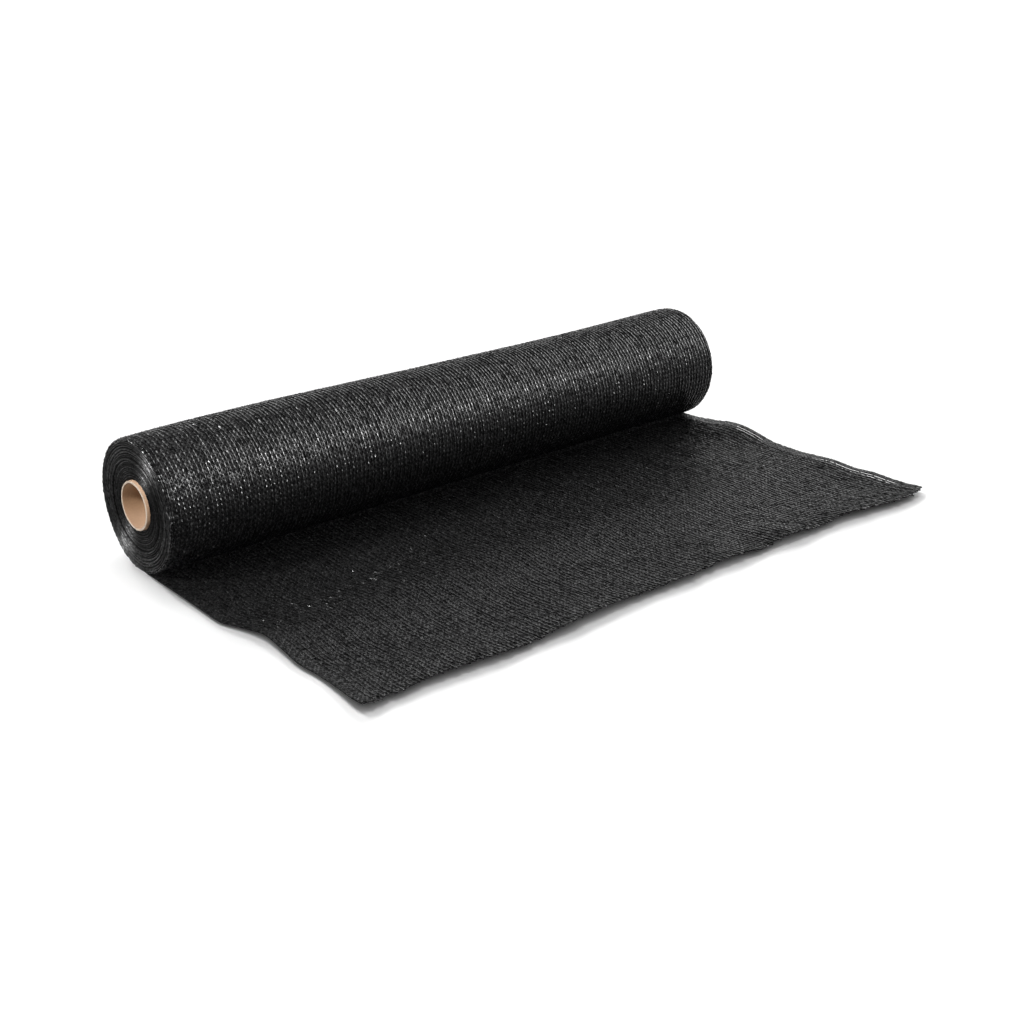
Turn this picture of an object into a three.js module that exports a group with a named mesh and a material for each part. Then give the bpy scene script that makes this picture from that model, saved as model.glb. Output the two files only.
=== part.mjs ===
// A roll of black knitted shade net on a paper core, with its loose end laid out flat in front.
// Millimetres. X runs along the roll from its near end, the loose end lies towards -Y, and +Z is up.
import * as THREE from 'three';

// Driving dimensions
const NET_WIDTH = 1000;          // selvedge to selvedge, along X
const PIECE_GAP = 0.3;           // clear space between neighbouring pieces
const CORE_RADIUS = 33.5;        // outside of the paper core
const CORE_WALL = 3;
const CORE_PROUD = 1;            // how far each cut end of the core passes the net's width
const CORE_WORN_EDGE = 0.6;      // bevel on the edges of each cut end
const AXIS_HEIGHT_NEAR = 91.2;   // the core lies a little higher inside the fuller, near end
const AXIS_HEIGHT_FAR = 86.9;
const NEAR_RIM = 10;             // length over which the wound surface rounds over at each end
const FAR_RIM = 30;
const FLAT_SPOT_DEPTH = 1.2;     // how far the roll flattens where it rests on the floor
const HANG_SHARPNESS = 4;        // how closely the slack outer turns hang to the lowest line
const SHEET_THICKNESS = 2;
const SHEET_START = 25.4;        // how far in front of the axis the loose end comes clear of the roll
const SIDE_CURL_REACH = 75;      // how far in from a side edge its raised waves fade out
const FRONT_CURL_REACH = 110;    // how far in from the cut end its lift fades out

// Facets
const ROUND_STEPS = 48;
const SHEET_COLUMNS = 36;
const SHEET_ROWS = 24;
const COLUMN_CROWDING = 0.12;    // draws the sheet's columns towards its side edges

// Wound surface between the rims, by distance from the near end
const WOUND_SURFACE = [
  { along: NEAR_RIM, radius: 90.2 },
  { along: 30, radius: 91.0 },
  { along: 80, radius: 92.0 },
  { along: 150, radius: 92.6 },
  { along: 250, radius: 91.8 },
  { along: 350, radius: 90.2 },
  { along: 480, radius: 88.0 },
  { along: 600, radius: 86.2 },
  { along: 700, radius: 85.0 },
  { along: 800, radius: 84.6 },
  { along: 880, radius: 85.2 },
  { along: 930, radius: 86.0 },
  { along: NET_WIDTH - FAR_RIM, radius: 86.4 },
];

// Near end of the wound net from the core out, where the turns stand unevenly proud of each other
const NEAR_END = [
  { radius: CORE_RADIUS + PIECE_GAP, inset: 3.4 },
  { radius: 38, inset: 2.4 },
  { radius: 44, inset: 3.2 },
  { radius: 50, inset: 1.7 },
  { radius: 57, inset: 2.7 },
  { radius: 63, inset: 1.2 },
  { radius: 69, inset: 2.2 },
  { radius: 75, inset: 0.8 },
  { radius: 80, inset: 1.7 },
  { radius: 84, inset: 0.6 },
  { radius: 87.4, inset: 1.2 },
  { radius: 89.3, inset: 3.8 },
];

// Far end of the wound net from the core out
const FAR_END = [
  { radius: CORE_RADIUS + PIECE_GAP, inset: 3.6 },
  { radius: 40, inset: 2.6 },
  { radius: 47, inset: 3.4 },
  { radius: 54, inset: 1.8 },
  { radius: 61, inset: 2.8 },
  { radius: 68, inset: 1.2 },
  { radius: 74, inset: 2.0 },
  { radius: 80, inset: 0.6 },
  { radius: 83.4, inset: 1.8 },
  { radius: 85.4, inset: 6 },
  { radius: 86.2, inset: 14 },
];

// Near selvedge of the loose end, by distance in front of the roll's axis
const NEAR_SELVEDGE = [
  { reach: SHEET_START, across: 0, lift: 0 },
  { reach: 110, across: -5, lift: 2 },
  { reach: 175, across: -8, lift: 2.4 },
  { reach: 212, across: -9, lift: 2.5 },
  { reach: 245, across: 1, lift: 3.8 },
  { reach: 282, across: 9, lift: 6 },
  { reach: 328, across: 4, lift: 5 },
  { reach: 370, across: -2, lift: 4 },
  { reach: 410, across: -1, lift: 4 },
  { reach: 455, across: -5, lift: 2.5 },
  { reach: 490, across: -10, lift: 2 },
  { reach: 512, across: -9, lift: 1 },
];

// Far selvedge of the loose end
const FAR_SELVEDGE = [
  { reach: SHEET_START, across: 997.5, lift: 0 },
  { reach: 55, across: 998, lift: 0 },
  { reach: 96, across: 998.5, lift: 4.7 },
  { reach: 140, across: 998.5, lift: 11 },
  { reach: 183, across: 998, lift: 6.6 },
  { reach: 222, across: 997, lift: 0 },
  { reach: 270, across: 995.5, lift: 0 },
  { reach: 308, across: 995.5, lift: 2.4 },
  { reach: 347, across: 993, lift: 6.4 },
  { reach: 385, across: 991, lift: 5 },
  { reach: 423, across: 991, lift: 5.2 },
  { reach: 462, across: 990, lift: 1 },
  { reach: 485, across: 993, lift: 0 },
  { reach: 512, across: 1001, lift: 0 },
];

// Cut end of the loose end, by distance across the net; it springs up a little off the floor
const CUT_END = [
  { across: 0, reach: 508.5, lift: 8 },
  { across: 60, reach: 508, lift: 8 },
  { across: 100, reach: 505, lift: 8 },
  { across: 205, reach: 512.5, lift: 8 },
  { across: 290, reach: 509.5, lift: 8 },
  { across: 345, reach: 504, lift: 10.5 },
  { across: 400, reach: 501, lift: 8 },
  { across: 520, reach: 502.5, lift: 8 },
  { across: 590, reach: 499, lift: 8 },
  { across: 655, reach: 502, lift: 8 },
  { across: 708, reach: 500.5, lift: 10.5 },
  { across: 762, reach: 503, lift: 8 },
  { across: 830, reach: 502, lift: 8 },
  { across: 880, reach: 508.5, lift: 8 },
  { across: 940, reach: 515.5, lift: 8 },
  { across: 975, reach: 513, lift: 8 },
  { across: NET_WIDTH, reach: 504, lift: 8 },
];

const NET_MATERIAL = { color: 0x18181a, roughness: 0.55, metalness: 0 };
const CORE_MATERIAL = { color: 0xb98c62, roughness: 0.85, metalness: 0 };

// Smooth curve through one column of a table, read at any place along its key column
function curveThrough(table, key, column) {
  const slopeAt = (index) => {
    const before = table[Math.max(index - 1, 0)];
    const after = table[Math.min(index + 1, table.length - 1)];
    return (after[column] - before[column]) / (after[key] - before[key]);
  };
  return (place) => {
    const held = THREE.MathUtils.clamp(place, table[0][key], table[table.length - 1][key]);
    const next = Math.max(1, table.findIndex((row) => row[key] >= held));
    const from = table[next - 1];
    const to = table[next];
    const span = to[key] - from[key];
    const t = (held - from[key]) / span;
    const towards = t * t * (3 - 2 * t);
    const leaving = t * (1 - t) * (1 - t) * span * slopeAt(next - 1);
    const arriving = t * t * (t - 1) * span * slopeAt(next);
    return THREE.MathUtils.lerp(from[column], to[column], towards) + leaving + arriving;
  };
}

// Moves every point of a geometry to the place that a function gives for it
function reshape(geometry, place) {
  const position = geometry.attributes.position;
  const point = new THREE.Vector3();
  for (let index = 0; index < position.count; index += 1) {
    point.fromBufferAttribute(position, index);
    place(point);
    position.setXYZ(index, point.x, point.y, point.z);
  }
  geometry.computeVertexNormals();
  return geometry;
}

// Turns a closed profile of radius and distance along the roll into a ring lying along X
function turned(profile) {
  const outline = profile.map(({ radius, along }) => new THREE.Vector2(radius, along));
  const geometry = new THREE.LatheGeometry([...outline, outline[0].clone()], ROUND_STEPS);
  return geometry.rotateZ(-Math.PI / 2);
}

function axisHeight(along) {
  return THREE.MathUtils.lerp(AXIS_HEIGHT_NEAR, AXIS_HEIGHT_FAR, along / NET_WIDTH);
}

function named(name, geometry, material) {
  const mesh = new THREE.Mesh(geometry, new THREE.MeshStandardMaterial(material));
  mesh.name = name;
  return mesh;
}

// Paper core: a stiff tube with lightly worn edges at its two cut ends
function coreTube() {
  const inner = CORE_RADIUS - CORE_WALL;
  const start = -CORE_PROUD;
  const end = NET_WIDTH + CORE_PROUD;
  const profile = [
    { radius: inner + CORE_WORN_EDGE, along: start },
    { radius: CORE_RADIUS - CORE_WORN_EDGE, along: start },
    { radius: CORE_RADIUS, along: start + CORE_WORN_EDGE },
    { radius: CORE_RADIUS, along: end - CORE_WORN_EDGE },
    { radius: CORE_RADIUS - CORE_WORN_EDGE, along: end },
    { radius: inner + CORE_WORN_EDGE, along: end },
    { radius: inner, along: end - CORE_WORN_EDGE },
    { radius: inner, along: start + CORE_WORN_EDGE },
  ];
  const geometry = reshape(turned(profile), (point) => {
    point.z += axisHeight(point.x);
  });
  return named('core_tube', geometry, CORE_MATERIAL);
}

// Wound net: a ring round the core whose slack outer turns hang to the floor and flatten there
function netRoll() {
  const bore = CORE_RADIUS + PIECE_GAP;
  const surface = curveThrough(WOUND_SURFACE, 'along', 'radius');
  const nearEnd = NEAR_END.map(({ radius, inset }) => ({ radius, along: inset }));
  const farEnd = FAR_END.map(({ radius, inset }) => ({ radius, along: NET_WIDTH - inset }));
  const profile = [...nearEnd, ...WOUND_SURFACE, ...farEnd.reverse()];
  const geometry = reshape(turned(profile), (point) => {
    const height = axisHeight(point.x);
    const full = surface(point.x);
    const radius = Math.hypot(point.y, point.z);
    const shareOfWinding = (radius - bore) / (full - bore);
    const facingDown = Math.max(0, -point.z / radius);
    const slack = height + FLAT_SPOT_DEPTH - full;
    const hang = slack * shareOfWinding * facingDown ** HANG_SHARPNESS;
    const stretch = (radius + hang) / radius;
    point.y *= stretch;
    point.z = Math.max(0, height + point.z * stretch);
  });
  return named('net_roll', geometry, NET_MATERIAL);
}

// Loose end: a flat sheet with uneven selvedges that lift in waves, and a wavering cut end
function netLooseEnd() {
  const nearAcross = curveThrough(NEAR_SELVEDGE, 'reach', 'across');
  const nearLift = curveThrough(NEAR_SELVEDGE, 'reach', 'lift');
  const farAcross = curveThrough(FAR_SELVEDGE, 'reach', 'across');
  const farLift = curveThrough(FAR_SELVEDGE, 'reach', 'lift');
  const cutReach = curveThrough(CUT_END, 'across', 'reach');
  const cutLift = curveThrough(CUT_END, 'across', 'lift');
  const fade = (distance, limit) => 0.5 + 0.5 * Math.cos(Math.PI * Math.min(distance / limit, 1));
  const raised = (lift, distance, limit) => Math.max(0, lift) * fade(distance, limit);

  const block = new THREE.BoxGeometry(1, 1, 1, SHEET_COLUMNS, SHEET_ROWS, 1);
  const geometry = reshape(block, (point) => {
    const share = point.x + 0.5;
    const acrossShare = share - COLUMN_CROWDING * Math.sin(2 * Math.PI * share);
    const cut = cutReach(acrossShare * NET_WIDTH);
    const reach = THREE.MathUtils.lerp(cut, SHEET_START, point.y + 0.5);
    const nearEdge = nearAcross(reach);
    const farEdge = farAcross(reach);
    const across = THREE.MathUtils.lerp(nearEdge, farEdge, acrossShare);
    const lift = raised(nearLift(reach), across - nearEdge, SIDE_CURL_REACH)
      + raised(farLift(reach), farEdge - across, SIDE_CURL_REACH)
      + raised(cutLift(across), cut - reach, FRONT_CURL_REACH);
    point.set(across, -reach, lift + (point.z + 0.5) * SHEET_THICKNESS);
  });
  return named('net_loose_end', geometry, NET_MATERIAL);
}

const shadeNet = new THREE.Group();
shadeNet.add(coreTube(), netRoll(), netLooseEnd());

// The origin lies on the floor, under the middle of the whole piece
const extent = new THREE.Box3().setFromObject(shadeNet);
const middle = extent.getCenter(new THREE.Vector3());
shadeNet.position.set(-middle.x, -middle.y, -extent.min.z);

export default shadeNet;
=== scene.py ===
# Shade net: a roll of black knitted net on a paper core, with its loose end laid out in front of the roll.
import math

import bpy
import numpy as np
from mathutils import Matrix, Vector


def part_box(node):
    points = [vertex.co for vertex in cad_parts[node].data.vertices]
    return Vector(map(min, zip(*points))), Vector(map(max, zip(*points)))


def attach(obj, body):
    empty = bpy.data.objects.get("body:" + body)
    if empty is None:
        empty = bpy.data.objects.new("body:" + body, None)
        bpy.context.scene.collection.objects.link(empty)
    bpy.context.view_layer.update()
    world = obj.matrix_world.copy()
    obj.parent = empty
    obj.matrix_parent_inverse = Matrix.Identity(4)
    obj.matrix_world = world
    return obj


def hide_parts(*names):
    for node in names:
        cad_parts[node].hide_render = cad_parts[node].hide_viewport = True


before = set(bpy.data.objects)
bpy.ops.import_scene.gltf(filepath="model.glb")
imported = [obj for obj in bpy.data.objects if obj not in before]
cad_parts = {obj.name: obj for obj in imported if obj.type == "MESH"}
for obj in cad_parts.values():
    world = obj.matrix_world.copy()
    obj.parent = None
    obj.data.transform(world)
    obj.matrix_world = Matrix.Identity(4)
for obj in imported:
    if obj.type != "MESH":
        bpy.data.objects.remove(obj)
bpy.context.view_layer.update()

# Paper core
# A stiff tube of kraft paper strips, wound in a spiral, glued and sawn to length.
# The net is wound straight on to it, and its pale sawn ends show the layers of the paper.
MM = 0.001
NET_WIDTH = 1000 * MM
CORE_WALL = 3 * MM
CORE_PROUD = 1 * MM                # how far each sawn end passes the net's width
CORE_WORN_EDGE = 0.4 * MM
CORE_EDGE_BACK = 1.6 * CORE_WORN_EDGE
CORE_RIM = 20 * MM                 # from the net's edge to the first ring of the tube's hidden outside
CORE_STEPS = 128                   # facets round the tube
CORE_BORE_RINGS = 110
CORE_SEED = 11
PAPER_LAYERS = 6
LAYER_SEAM_DEPTH = 0.22 * MM
LAYER_RIDGE = (0.3, 0.75)          # where the flat top of a layer starts and ends, as shares of its width
SAWN_UNEVENNESS = 0.16 * MM
PAPER_SEAM_PITCH = 118 * MM        # one turn of the paper strip along the tube
PAPER_SEAM_WIDTH = 0.018           # share of one turn
PAPER_SEAM_SHADE = 0.55
KRAFT_LIGHT = (0.26, 0.158, 0.088, 1)
KRAFT_DARK = (0.195, 0.112, 0.06, 1)
SAWN_PAPER = (0.2, 0.16, 0.122, 1)
SAWN_FACING = (0.3, 0.75)          # how squarely a face looks along the tube, from not sawn to sawn
FIBRE_SCALE = 420
FIBRE_DEPTH = 0.25 * MM
CLOUD_SCALE = 28
MOTTLE_RANGE = (0.12, 0.42)
PAPER_ROUGH = (0.72, 0.95)
MIX_FIRST = 6                      # colour sockets of a mix node
MIX_SECOND = 7
MIX_RESULT = 2

core_low, core_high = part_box("core_tube")
core_radius = (core_high.y - core_low.y) / 2
roll_start = core_low.x + CORE_PROUD
axis_y = (core_low.y + core_high.y) / 2
axis_near = core_high.z - core_radius
axis_far = core_low.z + core_radius


def axis_height(along):
    """Height of the core's axis at a distance from the net's near selvedge."""
    return axis_near + (axis_far - axis_near) * along / NET_WIDTH


def turned(along, angle, radius):
    """Places round the core's axis. The angle runs from straight down, up the back and over to the
    front."""
    shape = np.broadcast(along, angle, radius).shape
    places = np.empty(shape + (3,))
    places[..., 0] = roll_start + along
    places[..., 1] = axis_y + radius * np.sin(angle)
    places[..., 2] = axis_height(along) - radius * np.cos(angle)
    return places


def ring_faces(rings, steps):
    """Quads of a closed ring of rings, such as a tube's inside, ends and outside."""
    ring = np.arange(rings)[:, None]
    step = np.arange(steps)[None, :]
    next_ring = (ring + 1) % rings
    next_step = (step + 1) % steps
    corners = (ring * steps + step, ring * steps + next_step,
               next_ring * steps + next_step, next_ring * steps + step)
    return np.stack(np.broadcast_arrays(*corners), axis=-1).reshape(-1, 4)


def new_piece(name, points, faces, material):
    """A smooth mesh of these points and faces, in the scene."""
    mesh = bpy.data.meshes.new(name)
    mesh.from_pydata(points.reshape(-1, 3).tolist(), [], faces.tolist())
    mesh.shade_smooth()
    mesh.materials.append(material)
    piece = bpy.data.objects.new(name, mesh)
    bpy.context.scene.collection.objects.link(piece)
    return piece


def new_material(name):
    """A material with its node tree and its main shader."""
    material = bpy.data.materials.new(name)
    material.use_nodes = True
    tree = material.node_tree
    return material, tree, tree.nodes["Principled BSDF"]


def add_node(tree, kind, inputs, **settings):
    """A shader node with its settings, its input values and its links."""
    node = tree.nodes.new(kind)
    for setting, value in settings.items():
        setattr(node, setting, value)
    for socket, value in inputs.items():
        if isinstance(value, bpy.types.NodeSocket):
            tree.links.new(value, node.inputs[socket])
        else:
            node.inputs[socket].default_value = value
    return node


def own_place(tree):
    """Each point's place in its own piece, in metres."""
    return add_node(tree, "ShaderNodeTexCoord", {}).outputs["Object"]


def noted(tree, attribute, output="Fac"):
    """What the mesh keeps under this name."""
    return add_node(tree, "ShaderNodeAttribute", {}, attribute_name=attribute).outputs[output]


def noise(tree, place, scale, detail=2, roughness=0.5):
    """Soft random values from 0 to 1 over a piece."""
    inputs = {"Vector": place, "Scale": scale, "Detail": detail, "Roughness": roughness}
    return add_node(tree, "ShaderNodeTexNoise", inputs).outputs["Fac"]


def worked(tree, operation, *values):
    """The result of one sum or step of arithmetic on these values."""
    return add_node(tree, "ShaderNodeMath", dict(enumerate(values)), operation=operation).outputs[0]


def mapped(tree, value, old=(0, 1), new=(0, 1), **settings):
    """A value carried from an old range to a new one."""
    inputs = {"Value": value, "From Min": old[0], "From Max": old[1], "To Min": new[0], "To Max": new[1]}
    return add_node(tree, "ShaderNodeMapRange", inputs, **settings).outputs[0]


def blended(tree, share, first, second, **settings):
    """A colour between two others, by a share from 0 to 1."""
    inputs = {"Factor": share, MIX_FIRST: first, MIX_SECOND: second}
    return add_node(tree, "ShaderNodeMix", inputs, data_type="RGBA", **settings).outputs[MIX_RESULT]


def kraft_paper():
    """Brown kraft paper, paler where it is sawn across, with a faint spiral seam in the bore."""
    material, tree, shader = new_material("kraft_paper")
    place = own_place(tree)
    fibres = noise(tree, place, FIBRE_SCALE, detail=5, roughness=0.65)
    cloud = noise(tree, place, CLOUD_SCALE, detail=3)
    mottle = mapped(tree, worked(tree, "MULTIPLY", fibres, cloud), MOTTLE_RANGE)
    brown = blended(tree, mottle, KRAFT_DARK, KRAFT_LIGHT)
    facing = add_node(tree, "ShaderNodeNewGeometry", {}).outputs["Normal"]
    end_on = add_node(tree, "ShaderNodeSeparateXYZ", {0: facing}).outputs["X"]
    sawn = mapped(tree, worked(tree, "ABSOLUTE", end_on), SAWN_FACING)
    colour = blended(tree, sawn, brown, SAWN_PAPER)
    seam_turn = worked(tree, "FRACT", noted(tree, "paper_seam"))
    seam_gap = mapped(tree, seam_turn, (0, PAPER_SEAM_WIDTH), (PAPER_SEAM_SHADE, 1))
    seamed = blended(tree, 1, colour, seam_gap, blend_type="MULTIPLY")
    rough = mapped(tree, fibres, new=PAPER_ROUGH)
    bump = add_node(tree, "ShaderNodeBump", {"Height": fibres, "Strength": 0.5, "Distance": FIBRE_DEPTH})
    tree.links.new(seamed, shader.inputs["Base Color"])
    tree.links.new(rough, shader.inputs["Roughness"])
    tree.links.new(bump.outputs[0], shader.inputs["Normal"])
    return material


def sawn_end(rng):
    """Radius and inset of the rings of one sawn end, from the bore out, with a rounded ridge for each paper
    layer."""
    inner = core_radius - CORE_WALL
    layer = (CORE_WALL - 2 * CORE_WORN_EDGE) / PAPER_LAYERS
    rings = [(inner, CORE_EDGE_BACK)]
    for index in range(PAPER_LAYERS):
        edge = inner + CORE_WORN_EDGE + index * layer
        back = rng.uniform(0, SAWN_UNEVENNESS)
        rings.append((edge, back + LAYER_SEAM_DEPTH))
        rings += [(edge + share * layer, back) for share in LAYER_RIDGE]
    rings.append((core_radius, CORE_EDGE_BACK))
    return np.array(rings)


core_rng = np.random.default_rng(CORE_SEED)
near_sawn = sawn_end(core_rng)
far_sawn = sawn_end(core_rng)[::-1]
bore_along = np.linspace(NET_WIDTH, 0, CORE_BORE_RINGS)
core_along = np.concatenate([near_sawn[:, 1] - CORE_PROUD, [CORE_RIM, NET_WIDTH - CORE_RIM],
                             NET_WIDTH + CORE_PROUD - far_sawn[:, 1], bore_along])
core_rings = np.concatenate([near_sawn[:, 0], [core_radius, core_radius],
                             far_sawn[:, 0], np.full(CORE_BORE_RINGS, core_radius - CORE_WALL)])
core_angle = np.linspace(0, 2 * math.pi, CORE_STEPS, endpoint=False)
core_points = turned(core_along[:, None], core_angle[None, :], core_rings[:, None])
core = new_piece("paper_core", core_points, ring_faces(len(core_along), CORE_STEPS), kraft_paper())
seam = core.data.attributes.new("paper_seam", "FLOAT", "CORNER")
ring_turns = core_along[:, None] / PAPER_SEAM_PITCH
next_ring_turns = np.roll(ring_turns, -1, axis=0)
step_turns = np.arange(CORE_STEPS + 1)[None, :] / CORE_STEPS
seam_turns = np.empty((len(core_along), CORE_STEPS, 4))
seam_turns[:, :, 0] = ring_turns + step_turns[:, :-1]
seam_turns[:, :, 1] = ring_turns + step_turns[:, 1:]
seam_turns[:, :, 2] = next_ring_turns + step_turns[:, 1:]
seam_turns[:, :, 3] = next_ring_turns + step_turns[:, :-1]
seam.data.foreach_set("value", seam_turns.ravel())
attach(core, "root")
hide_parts("core_tube")

# Wound net
# About fifty metres of black knitted net, wound tight on the core under a little slack in its outer turns.
# Its ends show the selvedge of every turn, some standing further out than others.
WALE_PITCH_WANTED = 6.35 * MM      # a wale is one lengthwise row of stitches
COURSE_PITCH = 7 * MM              # a course is one crosswise row of stitches
ROLL_COURSES = 79                  # stitches in the outer turn
SELVEDGE_WALES = np.array([1.3, 4.0, 6.7, 12.5]) * MM
BODY_MARGIN = 18.5 * MM            # from each edge to the first full-width wale
PIECE_GAP = 0.3 * MM
FLAT_SPOT_DEPTH = 1.2 * MM
HANG_SHARPNESS = 4
WALE_SINK = 0.75 * MM              # the ground of the net lies below the tops of its stitches
GAP_SINK = 1.25 * MM
COURSE_DIP = 0.2 * MM
OUTER_WAVER = 0.15 * MM
OUTER_WAVE = {"wavelength": 170 * MM, "seed": 21}
ROLL_SEED = 5

# Bundles of turns at the ends of the roll
NEAR_RIM = 86.9 * MM               # outer radius of the last bundle at each end
FAR_RIM = 82.9 * MM
TURN_BUNDLES = 18                  # groups of turns that stand out together at an end
BUNDLE_WIDTHS = (0.65, 1.35)       # least and most, as shares of an even width
BUNDLE_SCATTER = 0.35 * MM         # how unevenly the bundles stand out
BUNDLE_GLOSS = (0.4, 1.3)          # least and most gloss of a bundle
TURN_WAVER = 0.4 * MM
WAVER_LOBES = (1, 2, 3, 5)
WAVER_OUTWARD = 0.3                # share of the waver that also moves a turn outwards
STITCH_SCATTER = 0.2 * MM
RADIUS_SCATTER = 0.06 * MM
STITCH_GLOSS = (0.1, 1.3)          # least and most gloss of a stitch in its bundle

# Black tape
# darkest and lightest tone of the tape; in the ground the darker one is painted into the gaps as shade
NET_BLACK = (0.004, 0.004, 0.0042, 1)
NET_GREY = (0.008, 0.008, 0.0083, 1)
# pale specks painted on the tape as small glints
TAPE_PAINTED_GLINT = (0.06, 0.06, 0.061, 1)
# near black painted into the gaps between the wound turns as shade
TURN_GAP_PAINTED_SHADE = (0.0015, 0.0015, 0.0016, 1)
TAPE_IOR = 1.54
GRAIN_SCALE = 900
GRAIN_DEPTH = 0.15 * MM
PATCH_SCALE = 150
PATCH_RANGE = (0.35, 0.65)
PAINTED_GLINT_SCALE = 380
PAINTED_GLINT_RANGE = (0.56, 0.7)
INLAY_EDGE = (0.1, 0.26)           # half width of an inlaid tape, solid and faded, in wale pitches
INLAY_HEIGHT = 4                   # in heights of the grain
SHINE_ROUGH = (0.6, 0.3)           # from the gaps to what stands out of them
DEEP_GLOSS = 0.03                  # specular level in the gaps, which lie in the shade of their own tapes
INLAY_GLOSS = 0.22
TURN_GLOSS = 0.45
TURN_STRETCH = 0.65                # gloss is drawn out along the turns
TURN_STRETCH_ANGLE = 0.25          # of a whole turn
CORE_TURN_GLOSS = 0.35             # share of the turns' gloss which the innermost ones have

# Radius of the wound surface by distance from the near selvedge, in millimetres, both rims included
WOUND_SURFACE = {
    "along": (0.6, 1.2, 3.8, 10, 30, 80, 150, 250, 350, 480,
              600, 700, 800, 880, 930, 970, 986, 994, 998.2, 999.4),
    "radius": (84, 87.4, 89.3, 90.2, 91, 92, 92.6, 91.8, 90.2, 88,
               86.2, 85, 84.6, 85.2, 86, 86.4, 86.2, 85.4, 83.4, 80),
}
# How far the turns stand back from the selvedge line at each end, by radius, in millimetres
NEAR_END = {
    "radius": (33.8, 38, 44, 50, 57, 63, 69, 75, 80, 84, 87.4),
    "inset": (3.4, 2.4, 3.2, 1.7, 2.7, 1.2, 2.2, 0.8, 1.7, 0.6, 1.2),
}
FAR_END = {
    "radius": (33.8, 40, 47, 54, 61, 68, 74, 80, 83.4),
    "inset": (3.6, 2.6, 3.4, 1.8, 2.8, 1.2, 2.0, 0.6, 1.8),
}
# One bundle of turns at an end, from its inner side out: share of its width, how far back it stands in
# millimetres, and how much of the tape's gloss shows there, which also sets its colour: near black as painted
# shade where none shows
BUNDLE_PROFILE = {
    "share": (0.0, 0.14, 0.3, 0.46, 0.6, 0.74, 0.88),
    "back": (2.4, 0.5, 0.0, 0.6, 2.0, 1.3, 2.2),
    "gloss": (0.0, 0.85, 1.0, 0.7, 0.0, 0.15, 0.0),
}
# Soft waves over the net: how many are added up, their lengths as shares of the usual one, and the height
# that so many reach together
RIPPLE_WAVES = 7
RIPPLE_LENGTHS = (0.65, 1.6)
RIPPLE_HEIGHT = 3


def curve_through(table, key, column):
    """Smooth curve through one column of a table in millimetres, read in metres at places along its key
    column."""
    places = np.array(table[key]) * MM
    heights = np.array(table[column]) * MM
    slopes = np.gradient(heights, places)
    slopes[1:-1] = (heights[2:] - heights[:-2]) / (places[2:] - places[:-2])

    def read(place):
        held = np.clip(place, places[0], places[-1])
        after = np.clip(np.searchsorted(places, held), 1, len(places) - 1)
        before = after - 1
        span = places[after] - places[before]
        share = (held - places[before]) / span
        towards = share * share * (3 - 2 * share)
        leaving = share * (1 - share) ** 2 * span * slopes[before]
        arriving = share * share * (share - 1) * span * slopes[after]
        return heights[before] + (heights[after] - heights[before]) * towards + leaving + arriving

    return read


def ripple(across, along, wavelength, seed):
    """Soft uneven waves of about -1 to 1 over the net, the same on every run."""
    rng = np.random.default_rng(seed)
    total = 0
    for _ in range(RIPPLE_WAVES):
        heading = rng.uniform(0, math.pi)
        turns = 2 * math.pi / (wavelength * rng.uniform(*RIPPLE_LENGTHS))
        start = rng.uniform(0, 2 * math.pi)
        total = total + np.sin(turns * (across * math.cos(heading) + along * math.sin(heading)) + start)
    return total / RIPPLE_HEIGHT


wound_radius = curve_through(WOUND_SURFACE, "along", "radius")
bore_radius = core_radius + PIECE_GAP
body_count = round((NET_WIDTH - 2 * BODY_MARGIN) / WALE_PITCH_WANTED) + 1
body_wales = np.linspace(BODY_MARGIN, NET_WIDTH - BODY_MARGIN, body_count)
wale_pitch = body_wales[1] - body_wales[0]
wales = np.concatenate([SELVEDGE_WALES, body_wales, NET_WIDTH - SELVEDGE_WALES[::-1]])


def wound_place(along, angle, radius):
    """Places in the wound net. Its slack outer turns hang to the floor and flatten there."""
    full = wound_radius(along)
    share = (radius - bore_radius) / (full - bore_radius)
    facing_down = np.clip(np.cos(angle), 0, None)
    slack = axis_height(along) + FLAT_SPOT_DEPTH - full
    places = turned(along, angle, radius + slack * share * facing_down ** HANG_SHARPNESS)
    places[..., 2] = np.clip(places[..., 2], 0, None)
    return places


def on_roll(across, along, proud):
    """Places on the outer turn, by distance across the net, distance along it, and height above its
    surface."""
    angle = along / (ROLL_COURSES * COURSE_PITCH) * 2 * math.pi
    waver = OUTER_WAVER * ripple(across, along, **OUTER_WAVE)
    return wound_place(across, angle, wound_radius(across) + waver + proud)


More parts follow.
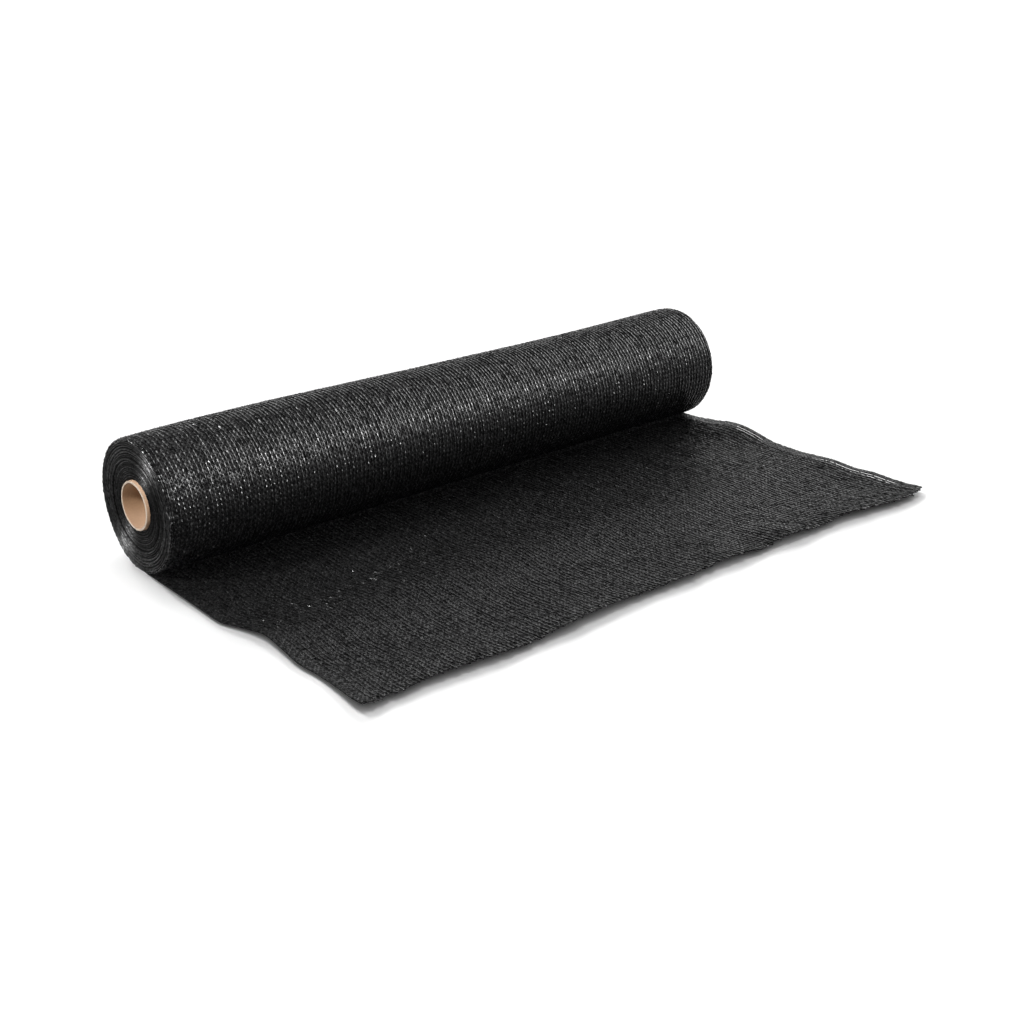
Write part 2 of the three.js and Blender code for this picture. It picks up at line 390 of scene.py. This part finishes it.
def turn_rings(end_table, outer_radius, angle, rng):
    """Radius, inset and share of gloss of the rings of one end of the roll. The turns lie in uneven bundles,
    and one turn of each stands out as a thin edge. The share of gloss also paints the rings' colour, near
    black as shade in the gaps."""
    inset_at = curve_through(end_table, "radius", "inset")
    widths = rng.uniform(*BUNDLE_WIDTHS, TURN_BUNDLES)
    edges = bore_radius + (outer_radius - bore_radius) * np.append(0, np.cumsum(widths) / widths.sum())
    radii, insets, glosses = [], [], []
    for bundle in range(TURN_BUNDLES):
        width = edges[bundle + 1] - edges[bundle]
        bundle_back = rng.normal(0, BUNDLE_SCATTER)
        bundle_gloss = rng.uniform(*BUNDLE_GLOSS)
        waver = 0
        for lobes in WAVER_LOBES:
            waver = waver + TURN_WAVER / lobes * np.sin(lobes * angle + rng.uniform(0, 2 * math.pi))
        for share, back, gloss in zip(*BUNDLE_PROFILE.values()):
            radius = edges[bundle] + share * width
            stitch = rng.normal(0, STITCH_SCATTER, angle.shape)
            radii.append(radius + WAVER_OUTWARD * waver + rng.normal(0, RADIUS_SCATTER, angle.shape))
            insets.append(inset_at(radius) + bundle_back + waver + back * MM + stitch)
            outward = CORE_TURN_GLOSS + (1 - CORE_TURN_GLOSS) * (bundle + share) / TURN_BUNDLES
            stitch_gloss = rng.uniform(*STITCH_GLOSS, angle.shape)
            glosses.append(np.clip(gloss * bundle_gloss * outward * stitch_gloss, 0, 1))
    return np.array(radii), np.array(insets), np.array(glosses)


def tape_grain(tree):
    """Fine grain of drawn polyethylene tape."""
    return noise(tree, own_place(tree), GRAIN_SCALE, detail=3, roughness=0.6)


def tape_patches(tree):
    """Uneven patches over the tapes, from 0 to 1."""
    return mapped(tree, noise(tree, own_place(tree), PATCH_SCALE), PATCH_RANGE)


def with_painted_glints(tree, colour):
    """A tape's colour with pale flecks painted on at random as small glints."""
    flecks = mapped(tree, noise(tree, own_place(tree), PAINTED_GLINT_SCALE), PAINTED_GLINT_RANGE)
    return blended(tree, flecks, colour, TAPE_PAINTED_GLINT)


def finish_tape(tree, shader, colour, rough, gloss, height):
    """Joins the colour, roughness, gloss and grain of a tape to its shader."""
    bump = add_node(tree, "ShaderNodeBump", {"Height": height, "Strength": 0.6, "Distance": GRAIN_DEPTH})
    tree.links.new(colour, shader.inputs["Base Color"])
    tree.links.new(rough, shader.inputs["Roughness"])
    tree.links.new(gloss, shader.inputs["Specular IOR Level"])
    tree.links.new(bump.outputs[0], shader.inputs["Normal"])
    shader.inputs["IOR"].default_value = TAPE_IOR


def inlaid_ground():
    """Ground of the net. Only its inlaid tapes shine, which cross slantwise between the wales."""
    material, tree, shader = new_material("net_ground")
    counted = add_node(tree, "ShaderNodeSeparateXYZ", {0: noted(tree, "knit", "Vector")})
    between = worked(tree, "FRACT", counted.outputs["X"])
    slant = worked(tree, "PINGPONG", counted.outputs["Y"], 1)
    other_slant = worked(tree, "SUBTRACT", 1, slant)
    from_slant = worked(tree, "ABSOLUTE", worked(tree, "SUBTRACT", between, slant))
    from_other = worked(tree, "ABSOLUTE", worked(tree, "SUBTRACT", between, other_slant))
    nearest = worked(tree, "MINIMUM", from_slant, from_other)
    tape = mapped(tree, nearest, INLAY_EDGE, (1, 0), interpolation_type="SMOOTHSTEP")
    shine = worked(tree, "MULTIPLY", tape, tape_patches(tree))
    height = worked(tree, "MULTIPLY_ADD", tape, INLAY_HEIGHT, tape_grain(tree))
    # Painted shade: the gaps between the inlaid tapes are coloured darker than the tapes, and pale flecks are
    # painted on as glints.
    colour = with_painted_glints(tree, blended(tree, shine, NET_BLACK, NET_GREY))
    rough = mapped(tree, shine, new=SHINE_ROUGH)
    gloss = mapped(tree, shine, new=(DEEP_GLOSS, INLAY_GLOSS))
    finish_tape(tree, shader, colour, rough, gloss, height)
    return material


def turn_edges():
    """Edges of the wound turns. Only those that stand out shine, drawn out round the roll."""
    material, tree, shader = new_material("net_turn_edges")
    shine = add_node(tree, "ShaderNodeSeparateXYZ", {0: noted(tree, "knit", "Vector")}).outputs["Z"]
    round_axis = add_node(tree, "ShaderNodeTangent", {}, direction_type="RADIAL", axis="X")
    tree.links.new(round_axis.outputs[0], shader.inputs["Tangent"])
    shader.inputs["Anisotropic"].default_value = TURN_STRETCH
    shader.inputs["Anisotropic Rotation"].default_value = TURN_STRETCH_ANGLE
    # Painted light and shade: the colour follows the share of gloss, near black as shade in the gaps between
    # the turns and the tape's grey where they stand out.
    colour = blended(tree, shine, TURN_GAP_PAINTED_SHADE, NET_GREY)
    rough = mapped(tree, shine, new=SHINE_ROUGH)
    gloss = mapped(tree, shine, new=(DEEP_GLOSS, TURN_GLOSS))
    finish_tape(tree, shader, colour, rough, gloss, tape_grain(tree))
    return material


def count_knit(piece, across, along, gloss):
    """Keeps, on every point of a piece, how many wales and courses it lies from the net's corner, and its
    share of gloss where the turns of the roll end, which there also sets the painted shade of their colour."""
    knit = piece.data.attributes.new("knit", "FLOAT_VECTOR", "POINT")
    counted = np.empty(across.shape + (3,))
    counted[..., 0] = (across - BODY_MARGIN) / wale_pitch
    counted[..., 1] = along / COURSE_PITCH
    counted[..., 2] = gloss
    knit.data.foreach_set("vector", counted.ravel())


ground_tape = inlaid_ground()
edge_tape = turn_edges()
roll_rng = np.random.default_rng(ROLL_SEED)
roll_steps = 2 * ROLL_COURSES
roll_along = np.arange(roll_steps) * COURSE_PITCH / 2
roll_angle = roll_along / (ROLL_COURSES * COURSE_PITCH) * 2 * math.pi
near_radii, near_insets, near_gloss_and_shade = turn_rings(NEAR_END, NEAR_RIM, roll_angle, roll_rng)
far_radii, far_insets, far_gloss_and_shade = turn_rings(FAR_END, FAR_RIM, roll_angle, roll_rng)
columns = np.empty(2 * len(wales) - 1)
columns[0::2] = wales
columns[1::2] = (wales[1:] + wales[:-1]) / 2
column_sink = np.where(np.arange(len(columns)) % 2 == 0, WALE_SINK, GAP_SINK)
row_dip = np.where(np.arange(roll_steps) % 2 == 0, 0, COURSE_DIP)
outer_points = on_roll(columns[:, None], roll_along[None, :], -column_sink[:, None] - row_dip[None, :])
near_points = wound_place(near_insets, roll_angle[None, :], near_radii)
far_points = wound_place(NET_WIDTH - far_insets[::-1], roll_angle[None, :], far_radii[::-1])
roll_points = np.concatenate([near_points, outer_points, far_points])
roll = new_piece("wound_net", roll_points, ring_faces(len(roll_points), roll_steps), ground_tape)
roll.data.materials.append(edge_tape)
face_ring = np.repeat(np.arange(len(roll_points)), roll_steps)
is_end = (face_ring < len(near_points)) | (face_ring >= len(near_points) + len(outer_points))
roll.data.polygons.foreach_set("material_index", is_end.astype(np.int32))
outer_across = np.repeat(columns[:, None], roll_steps, axis=1)
roll_across = np.concatenate([near_insets, outer_across, NET_WIDTH - far_insets[::-1]])
roll_gloss_and_shade = np.concatenate([near_gloss_and_shade, np.zeros_like(outer_across), far_gloss_and_shade[::-1]])
count_knit(roll, roll_across, np.broadcast_to(roll_along, roll_across.shape), roll_gloss_and_shade)
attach(roll, "root")
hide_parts("net_roll")

# Chains of the outer turn
# Each wale of the net is a chain of looped stitches of the same black tape, drawn tight round the inlaid
# tapes. Along the selvedges the wales lie closer, and every loop is twisted and stands a little differently.
CHAIN_HALF_WIDTH = 0.95 * MM
SELVEDGE_HALF_WIDTH = 0.85 * MM
CHAIN_SECTION = {
    "aside": (-1, -0.6, 0.6, 1),   # in half widths
    "raised": (0, 1, 1, 0),        # in heights
}
OUTER_FACE = {
    "top": 0.3 * MM,               # tops of the loops above the wound surface
    "foot": -1.2 * MM,
    "waist_width": 0.8,            # the chain narrows and dips between two loops
    "waist_height": 0.76,
    "slack_dip": 0.2,              # how much deeper the waists are at the slack near side of the net
    "lean": 0.15,                  # share of a stitch by which a loop leans over the next waist
    "twist": 8,                    # degrees, each station of a chain by itself
    "slack_twist": 2,              # degrees more at the slack near side
    "sharp_edge": 16,              # degrees between faces of a flat tape
}
OUTER_GLOSS = 0.68                 # specular level at the heads of the loops
GLOSS_SPREAD = 0.35                # how much the gloss of the stitches differs from place to place
WAIST_GLOSS = 0.12                 # share of that gloss between two loops, where the tape is drawn in
STITCH_ROUGH = (0.22, 0.38)
SLACK_REACH = 320 * MM             # from the near selvedge to where the loops are drawn tight
CHAIN_ZIGZAG = 0.15 * MM           # loops stand left and right in turn
WALE_SCATTER = 0.4 * MM            # the wales lie at uneven distances
CHAIN_WANDER = 0.2 * MM
CHAIN_SWAY = 0.5 * MM              # each wale sways slowly from side to side
SWAY_SCATTER = 0.7
SWAY_WAVES = (3, 7, 11)            # in one turn of the roll
WIDTH_SPREAD = (0.85, 1.15)
HEIGHT_SCATTER = 0.2 * MM
LENGTH_SCATTER = 0.4 * MM
TURNED_SHARE = 0.05                # of the loops are turned well over
TURNED_MOST = 45                   # degrees
TWIST_DRIFT = 5                    # degrees, alike in a few loops in a row
DRIFT_STATIONS = 4
PLACE_STEP = 0.5 * MM
CHAIN_SEED = 8


def looped_tape(name, gloss):
    """Tape of the looped stitches, which shines at their heads."""
    material, tree, shader = new_material(name)
    patch = tape_patches(tree)
    spread = mapped(tree, patch, new=((1 - GLOSS_SPREAD) * gloss, (1 + GLOSS_SPREAD) * gloss))
    standing = mapped(tree, noted(tree, "stitch_head"), new=(WAIST_GLOSS, 1))
    shone = worked(tree, "MULTIPLY", spread, standing)
    # The pale flecks on the stitches are painted glints.
    colour = with_painted_glints(tree, blended(tree, patch, NET_BLACK, NET_GREY))
    rough = mapped(tree, patch, new=STITCH_ROUGH)
    finish_tape(tree, shader, colour, rough, shone, tape_grain(tree))
    return material


def unit(vectors):
    """The same directions, each of length one."""
    return vectors / np.linalg.norm(vectors, axis=-1, keepdims=True)


def chain_lines(wale_places, along, head, look, rng):
    """Distances across and along the net of every station of the chains."""
    stations = len(along)
    count = len(wale_places)
    zigzag = np.where(np.arange(stations) % 4 < 2, CHAIN_ZIGZAG, -CHAIN_ZIGZAG)
    wale_middles = wale_places + rng.normal(0, WALE_SCATTER, count)
    across = wale_middles[:, None] + zigzag[None, :] + rng.normal(0, CHAIN_WANDER, (count, stations))
    rounds = np.arange(stations) / (2 * ROLL_COURSES)
    for waves in SWAY_WAVES:
        start = rng.uniform(0, 1, (count, 1))
        sway = CHAIN_SWAY * rng.normal(0, SWAY_SCATTER, (count, 1))
        across = across + sway * np.sin(2 * math.pi * (waves * rounds + start))
    lean = np.where(head, 0, look["lean"] * COURSE_PITCH)
    return across, along + lean + rng.normal(0, LENGTH_SCATTER, (count, stations))


def chain_twists(slack, stations, look, rng):
    """Twist of every station: a drift along the chain, a few loops turned over, and a scatter."""
    shape = (len(slack), stations)
    loose = rng.normal(0, TWIST_DRIFT, shape)
    drift = sum(np.roll(loose, step, axis=1) for step in range(DRIFT_STATIONS)) / math.sqrt(DRIFT_STATIONS)
    is_turned = rng.uniform(0, 1, shape) < TURNED_SHARE
    turned_over = np.where(is_turned, rng.uniform(-TURNED_MOST, TURNED_MOST, shape), 0)
    scatter = rng.normal(0, 1, shape) * (look["twist"] + look["slack_twist"] * slack)
    return np.radians(drift + turned_over + scatter)


def chain_faces(shape, closed):
    """Quads of chains of so many stations and corners, capped at both ends where they don't close."""
    index = np.arange(math.prod(shape)).reshape(shape)
    after = np.roll(index, -1, axis=1)
    if not closed:
        after = after[:, :-1]
    before = index[:, :after.shape[1]]
    sides = np.stack([before, after, np.roll(after, -1, axis=2), np.roll(before, -1, axis=2)], axis=-1)
    quads = [sides.reshape(-1, 4)]
    if not closed:
        quads += [index[:, 0], index[:, -1, ::-1]]
    return np.concatenate(quads)


def chains(place, wale_places, along, closed, half_width, look, rng):
    """Points and faces of one chain on each wale, two stations to a loop: its broad head and its narrow
    waist. A closed chain runs round the roll."""
    stations = len(along)
    shape = (len(wale_places), stations)
    head = np.arange(stations) % 2 == 0
    slack = np.clip(1 - wale_places / SLACK_REACH, 0, 1)[:, None]
    across, along = chain_lines(wale_places, along, head, look, rng)
    here = place(across, along, 0)
    forward = unit(place(across, along + PLACE_STEP, 0) - place(across, along - PLACE_STEP, 0))
    side = place(across + PLACE_STEP, along, 0) - place(across - PLACE_STEP, along, 0)
    up = unit(np.cross(forward, side))
    side = np.cross(up, forward)
    twist = chain_twists(slack, stations, look, rng)[..., None]
    side, up = side * np.cos(twist) + up * np.sin(twist), up * np.cos(twist) - side * np.sin(twist)
    width = half_width * np.where(head, 1, look["waist_width"]) * rng.uniform(*WIDTH_SPREAD, shape)
    waist_height = look["waist_height"] - look["slack_dip"] * slack
    height = (look["top"] - look["foot"]) * np.where(head, 1, waist_height)
    height = height + rng.normal(0, HEIGHT_SCATTER, shape)
    points = np.empty(shape + (4, 3))
    for corner, (aside, raised_share) in enumerate(zip(*CHAIN_SECTION.values())):
        above = look["foot"] + raised_share * height
        points[:, :, corner] = here + side * (aside * width)[..., None] + up * above[..., None]
    points[..., 2] = np.clip(points[..., 2], 0, None)
    return points, chain_faces(points.shape[:3], closed)


def new_chain(name, points, faces, look, material):
    """A piece of chains, whose flat tapes keep their sharp edges, with the heads of its loops marked."""
    chain = new_piece(name, points, faces, material)
    heads = np.broadcast_to((np.arange(points.shape[1]) % 2 == 0)[:, None], points.shape[:3])
    marked = chain.data.attributes.new("stitch_head", "FLOAT", "POINT")
    marked.data.foreach_set("value", heads.astype(np.float32).ravel())
    chain.data.set_sharp_from_angle(angle=math.radians(look["sharp_edge"]))
    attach(chain, "root")
    return chain


stitch_tape = looped_tape("net_stitches", OUTER_GLOSS)
chain_rng = np.random.default_rng(CHAIN_SEED)
edge_wales = np.concatenate([SELVEDGE_WALES, NET_WIDTH - SELVEDGE_WALES[::-1]])
roll_groups = (
    ("roll_chains", body_wales, CHAIN_HALF_WIDTH),
    ("roll_edge_chains", edge_wales, SELVEDGE_HALF_WIDTH),
)
for name, wale_places, half_width in roll_groups:
    points, faces = chains(on_roll, wale_places, roll_along, True, half_width, OUTER_FACE, chain_rng)
    new_chain(name, points, faces, OUTER_FACE, stitch_tape)

# Loose end
# The last half metre of the net, unrolled on the floor: one layer, knitted with a selvedge down each side.
# The selvedges are slack and lift in low waves, with open slits between their wales. The end is cut by hand
# and springs up a little.
SHEET_START = 17 * MM              # in front of the roll's axis, just under the roll
SHEET_UNDERSIDE = 0.15 * MM        # heights of the two faces above the line in which the cloth lies
SHEET_WALE = 1.05 * MM
SHEET_GAP = 0.8 * MM
SIDE_CURL_REACH = 75 * MM
FRONT_CURL_REACH = 110 * MM
SHEET_WAVER = 0.9 * MM             # how far the wales wander sideways
WAVER_WAVE = {"wavelength": 85 * MM, "seed": 31}
WAVER_MARGIN = 20 * MM             # from a selvedge, where none wanders, to where they wander fully
SHEET_SWELL = 1.1 * MM             # how high the cloth stands off the floor in soft swells
SWELL_WAVE = {"wavelength": 120 * MM, "seed": 33}
SWELL_MIDDLE = 0.35                # share of that height about which the swells rise and fall
SWELL_SWING = 0.5
SWELL_START = 60 * MM              # in front of the roll's axis
SWELL_GROWTH = 60 * MM
CUT_RAGGED = 1.8 * MM
CUT_UNEVENNESS = 0.2               # how much the lift of the cut end differs along it
CUT_WAVE = {"wavelength": 150 * MM, "seed": 35}
SHEET_SEED = 14
SAME_PLACE_DIGITS = 7              # columns that agree to so many decimal places are one

# Selvedges by distance in front of the roll's axis, in millimetres: place across the roll, and height of
# the raised waves
NEAR_SELVEDGE = {
    "reach": (25.4, 110, 175, 212, 245, 282, 328, 370, 410, 455, 490, 512),
    "across": (0, -5, -8, -9, 1, 9, 4, -2, -1, -5, -10, -9),
    "lift": (0, 2, 2.4, 2.5, 3.8, 6, 5, 4, 4, 2.5, 2, 1),
}
FAR_SELVEDGE = {
    "reach": (25.4, 55, 96, 140, 183, 222, 270, 308, 347, 385, 423, 462, 485, 512),
    "across": (997.5, 998, 998.5, 998.5, 998, 997, 995.5, 995.5, 993, 991, 991, 990, 993, 1001),
    "lift": (0, 0, 4.7, 11, 6.6, 0, 0, 2.4, 6.4, 5, 5.2, 1, 0, 0),
}
# Cut end by distance across the net, in millimetres, and how far it springs up off the floor
CUT_END = {
    "across": (0, 60, 100, 205, 290, 345, 400, 520, 590, 655, 708, 762, 830, 880, 940, 975, 1000),
    "reach": (508.5, 508, 505, 512.5, 509.5, 504, 501, 502.5, 499,
              502, 500.5, 503, 502, 508.5, 515.5, 513, 504),
    "lift": (8, 8, 8, 8, 8, 10.5, 8, 8, 8, 8, 10.5, 8, 8, 8, 8, 8, 8),
}
# Open slits by distance in from their selvedge, where they start and stop in front of the roll's axis, and
# half their width, all in millimetres, and the share of their length that threads of the net still cross
SLITS = {
    "far_side": (True, True, True, True, False, False, False),
    "inwards": (9.5, 15.5, 9.5, 15.5, 21.7, 21.7, 21.7),
    "from": (150, 155, 322, 330, 388, 371, 341),
    "to": (207, 208, 470, 466, 396, 377, 346),
    "half_width": (0.9, 0.8, 1.2, 1.2, 2, 2, 2),
    "crossed": (0.05, 0.1, 0.12, 0.3, 0, 0, 0),
}
near_across = curve_through(NEAR_SELVEDGE, "reach", "across")
near_lift = curve_through(NEAR_SELVEDGE, "reach", "lift")
far_across = curve_through(FAR_SELVEDGE, "reach", "across")
far_lift = curve_through(FAR_SELVEDGE, "reach", "lift")
cut_reach = curve_through(CUT_END, "across", "reach")
cut_lift = curve_through(CUT_END, "across", "lift")
sheet_courses = round((np.mean(CUT_END["reach"]) * MM - SHEET_START) / COURSE_PITCH)


def raised(lift, distance, limit):
    """Height of a raised wave at a distance in from its edge, fading softly to nothing."""
    return np.clip(lift, 0, None) * (0.5 + 0.5 * np.cos(math.pi * np.clip(distance / limit, 0, 1)))


def on_floor(across, along, proud):
    """Places on the loose end, by distance across the net, distance along it from the roll, and height above
    the line in which the cloth lies."""
    cut = cut_reach(across)
    reach = SHEET_START + along / (sheet_courses * COURSE_PITCH) * (cut - SHEET_START)
    near_edge = near_across(reach)
    far_edge = far_across(reach)
    straight = near_edge + (far_edge - near_edge) * across / NET_WIDTH
    inside = np.clip(np.minimum(across, NET_WIDTH - across) / WAVER_MARGIN, 0, 1)
    waver = SHEET_WAVER * inside * ripple(across, reach, **WAVER_WAVE)
    spring = cut_lift(straight) * (1 + CUT_UNEVENNESS * ripple(across, reach, **CUT_WAVE))
    lift = (raised(near_lift(reach), straight - near_edge, SIDE_CURL_REACH)
            + raised(far_lift(reach), far_edge - straight, SIDE_CURL_REACH)
            + raised(spring, cut - reach, FRONT_CURL_REACH))
    clear_of_roll = np.clip((reach - SWELL_START) / SWELL_GROWTH, 0, 1)
    swing = SWELL_MIDDLE + SWELL_SWING * ripple(across, reach, **SWELL_WAVE)
    swell = SHEET_SWELL * clear_of_roll * np.clip(swing, 0, None)
    places = np.empty(np.broadcast(straight, proud).shape + (3,))
    places[..., 0] = roll_start + straight + waver
    places[..., 1] = axis_y - reach
    places[..., 2] = lift + swell + proud
    return places


def thin_cloth(top, bottom, kept):
    """Points and faces of a closed sheet between two grids of points, walled round every opening and edge."""
    wide, long = top.shape[:2]
    index = np.arange(wide * long).reshape(wide, long)
    quads = np.stack([index[:-1, :-1], index[:-1, 1:], index[1:, 1:], index[1:, :-1]], axis=-1)
    upper = quads[kept]
    lower = upper[:, ::-1] + wide * long
    edges = np.concatenate([upper[:, [0, 1]], upper[:, [1, 2]], upper[:, [2, 3]], upper[:, [3, 0]]])
    keys = edges[:, 0] * wide * long + edges[:, 1]
    back_keys = edges[:, 1] * wide * long + edges[:, 0]
    rim = edges[~np.isin(keys, back_keys)]
    walls = np.stack([rim[:, 1], rim[:, 0], rim[:, 0] + wide * long, rim[:, 1] + wide * long], axis=-1)
    points = np.concatenate([top.reshape(-1, 3), bottom.reshape(-1, 3)])
    return points, np.concatenate([upper, lower, walls])


sheet_rng = np.random.default_rng(SHEET_SEED)
sheet_rows = 2 * sheet_courses + 1
sheet_along = np.arange(sheet_rows) * COURSE_PITCH / 2
slit_inwards = np.array(SLITS["inwards"]) * MM
slit_sides = np.where(SLITS["far_side"], NET_WIDTH - slit_inwards, slit_inwards)
slit_halves = np.array(SLITS["half_width"]) * MM
slit_edges = np.concatenate([slit_sides - slit_halves, slit_sides + slit_halves]).round(SAME_PLACE_DIGITS)
sheet_columns = np.unique(np.concatenate([[0], columns, slit_edges, [NET_WIDTH]]))
on_wale = np.isclose(sheet_columns[:, None], wales[None, :]).any(axis=1)
level = np.where(on_wale, SHEET_WALE, SHEET_GAP)
sheet_across, sheet_lengths = np.meshgrid(sheet_columns, sheet_along, indexing="ij")
ragged = np.zeros_like(sheet_lengths)
ragged[:, -1] = sheet_rng.normal(0, CUT_RAGGED, len(sheet_columns))
top_points = on_floor(sheet_across, sheet_lengths + ragged, level[:, None])
bottom_points = on_floor(sheet_across, sheet_lengths + ragged, SHEET_UNDERSIDE)
kept = np.ones((len(sheet_columns) - 1, sheet_rows - 1), bool)
middle_across = (sheet_columns[1:] + sheet_columns[:-1]) / 2
middle_reach = SHEET_START + (sheet_along[1:] + sheet_along[:-1]) / 2
slit_lengths = zip(SLITS["from"], SLITS["to"], SLITS["crossed"])
for slit, half, (start, stop, crossed) in zip(slit_sides, slit_halves, slit_lengths):
    in_slit = np.abs(middle_across - slit) < half
    is_open = (middle_reach > start * MM) & (middle_reach < stop * MM)
    is_open &= sheet_rng.uniform(0, 1, len(middle_reach)) >= crossed
    kept[np.ix_(in_slit, is_open)] = False
sheet_points, sheet_faces = thin_cloth(top_points, bottom_points, kept)
sheet = new_piece("loose_net", sheet_points, sheet_faces, ground_tape)
both_across = np.concatenate([sheet_across, sheet_across])
count_knit(sheet, both_across, np.concatenate([sheet_lengths, sheet_lengths]), 0)
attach(sheet, "root")
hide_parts("net_loose_end")

# Chains of the loose end
# The same chains of looped black tape, knitted into the sheet. Here the net shows its inner face, so they
# shine less, and at the cut they end unevenly.
INNER_FACE = {
    "top": 2.0 * MM,               # tops of the loops above the line in which the cloth lies
    "foot": 0.4 * MM,
    "waist_width": 0.8,
    "waist_height": 0.76,
    "slack_dip": 0.1,
    "lean": 0,
    "twist": 11,
    "slack_twist": 2,
    "sharp_edge": 20,
}
INNER_GLOSS = 0.33
EDGE_TOP = 1.3 * MM                # the selvedges are knitted flatter
FIRST_STITCH = 14 * MM             # no loops stand where the roll presses on the sheet
CHAIN_END_PAST = 0.5 * MM          # how far the chains pass the cut, and how unevenly
CHAIN_END_SCATTER = 2.2 * MM

chain_along = sheet_along[sheet_along > FIRST_STITCH]
inner_tape = looped_tape("net_inner_stitches", INNER_GLOSS)
sheet_chains = []
loose_groups = (
    ("loose_chains", body_wales, CHAIN_HALF_WIDTH, INNER_FACE["top"]),
    ("loose_edge_chains", edge_wales, SELVEDGE_HALF_WIDTH, EDGE_TOP),
)
for name, wale_places, half_width, top in loose_groups:
    look = dict(INNER_FACE, top=top)
    points, faces = chains(on_floor, wale_places, chain_along, False, half_width, look, chain_rng)
    points[:, -1, :, 1] -= chain_rng.normal(CHAIN_END_PAST, CHAIN_END_SCATTER, len(wale_places))[:, None]
    sheet_chains.append(new_chain(name, points, faces, look, inner_tape))

# Studio
# A plain white floor under a dim surround. Four lamps show only in the gloss of the tapes, as a band along
# the roll and lit walls. Three light the floor from behind, one of them not shaded by the roll. Of two small
# ones at the near end, one shines on the core alone and one shows only in gloss.
FLOOR_HALF = 40
FLOOR_WHITE = (0.96, 0.96, 0.96, 1)
FLOOR_CLOUD_SCALE = 3
FLOOR_ROUGH = (0.85, 0.95)
SURROUND = 0.4
SURROUND_WHITE = (1, 1, 1, 1)
LAMPS = {
    "name": ("band_lamp", "band_glow", "side_wall", "back_wall", "low_lamp", "back_lamp", "high_lamp"),
    "azimuth": (28, 28, 84, 139, 142, 173, 150),  # from the front, 0, to the right, 90, and the back, 180
    "elevation": (35, 35, 33, 18, 16, 30, 62),
    "width": (17, 46, 60, 40, 14, 14, 30),
    "strength": (2.9, 1.7, 4.8, 0.7, 3.2, 2.1, 0.9),
    "on_gloss": (True, True, True, True, False, False, False),
    "on_matt": (False, False, False, False, True, True, True),
    "past_roll": (False, False, False, False, True, False, False),  # not shaded by the roll
}
END_LAMPS = {
    "name": ("core_lamp", "end_lamp"),
    "azimuth": (-80, -104),
    "elevation": (42, 40),
    "cone": (12, 10),
    "radius": (0.3, 0.16),
    "watts": (1100, 700),
    "on_core": (True, False),
}
END_LAMP_DISTANCE = 1.8
END_LAMP_SOFTNESS = 0.5
CAMERA_PLACE = (-1.4718, -1.6917, 0.91785)
CAMERA_YAW = 40.395                # from +Y towards +X
CAMERA_PITCH = 21.951              # downwards
CAMERA_ROLL = -0.446
CAMERA_LENS = 60.69
SENSOR_WIDTH = 36

floor_material, floor_tree, floor_shader = new_material("studio_white")
floor_cloud = noise(floor_tree, own_place(floor_tree), FLOOR_CLOUD_SCALE)
floor_rough = mapped(floor_tree, floor_cloud, new=FLOOR_ROUGH)
floor_tree.links.new(floor_rough, floor_shader.inputs["Roughness"])
floor_shader.inputs["Base Color"].default_value = FLOOR_WHITE
floor_shader.inputs["Specular IOR Level"].default_value = 0.0
floor_points = np.array([(-1, -1, 0), (1, -1, 0), (1, 1, 0), (-1, 1, 0)]) * FLOOR_HALF
studio_floor = new_piece("studio_floor", floor_points, np.array([(0, 1, 2, 3)]), floor_material)

world = bpy.data.worlds.new("studio_surround")
world.use_nodes = True
background = world.node_tree.nodes["Background"]
background.inputs["Color"].default_value = SURROUND_WHITE
background.inputs["Strength"].default_value = SURROUND
bpy.context.scene.world = world
bpy.context.scene.view_settings.view_transform = "Standard"


def aimed(azimuth, elevation):
    """Turn of a lamp that shines from this side and height."""
    round_about = Matrix.Rotation(math.radians(azimuth), 4, "Z")
    return round_about @ Matrix.Rotation(math.radians(90 - elevation), 4, "X")


net_alone = bpy.data.collections.new("net_alone")
for cloth in (sheet, *sheet_chains):
    net_alone.objects.link(cloth)
for name, azimuth, elevation, width, strength, on_gloss, on_matt, past_roll in zip(*LAMPS.values()):
    light = bpy.data.lights.new(name, "SUN")
    light.energy = strength
    light.angle = math.radians(width)
    lamp = bpy.data.objects.new(name, light)
    lamp.matrix_world = aimed(azimuth, elevation)
    lamp.visible_glossy = on_gloss
    lamp.visible_diffuse = on_matt
    if past_roll:
        lamp.light_linking.blocker_collection = net_alone
    bpy.context.scene.collection.objects.link(lamp)

end_middle = Matrix.Translation((roll_start, axis_y, axis_near))
end_away = Matrix.Translation((0, 0, END_LAMP_DISTANCE))
core_alone = bpy.data.collections.new("core_alone")
core_alone.objects.link(core)
for name, azimuth, elevation, cone, radius, watts, on_core in zip(*END_LAMPS.values()):
    light = bpy.data.lights.new(name, "SPOT")
    light.energy = watts
    light.shadow_soft_size = radius
    light.spot_size = math.radians(cone)
    light.spot_blend = END_LAMP_SOFTNESS
    lamp = bpy.data.objects.new(name, light)
    lamp.matrix_world = end_middle @ aimed(azimuth, elevation) @ end_away
    lamp.visible_diffuse = on_core
    if on_core:
        lamp.light_linking.receiver_collection = core_alone
    bpy.context.scene.collection.objects.link(lamp)

camera = bpy.data.objects.new("camera", bpy.data.cameras.new("camera"))
camera.data.lens = CAMERA_LENS
camera.data.sensor_width = SENSOR_WIDTH
yaw = Matrix.Rotation(math.radians(-CAMERA_YAW), 4, "Z")
pitch = Matrix.Rotation(math.radians(90 - CAMERA_PITCH), 4, "X")
roll_turn = Matrix.Rotation(math.radians(CAMERA_ROLL), 4, "Z")
camera.matrix_world = Matrix.Translation(CAMERA_PLACE) @ yaw @ pitch @ roll_turn
bpy.context.scene.collection.objects.link(camera)
bpy.context.scene.camera = camera
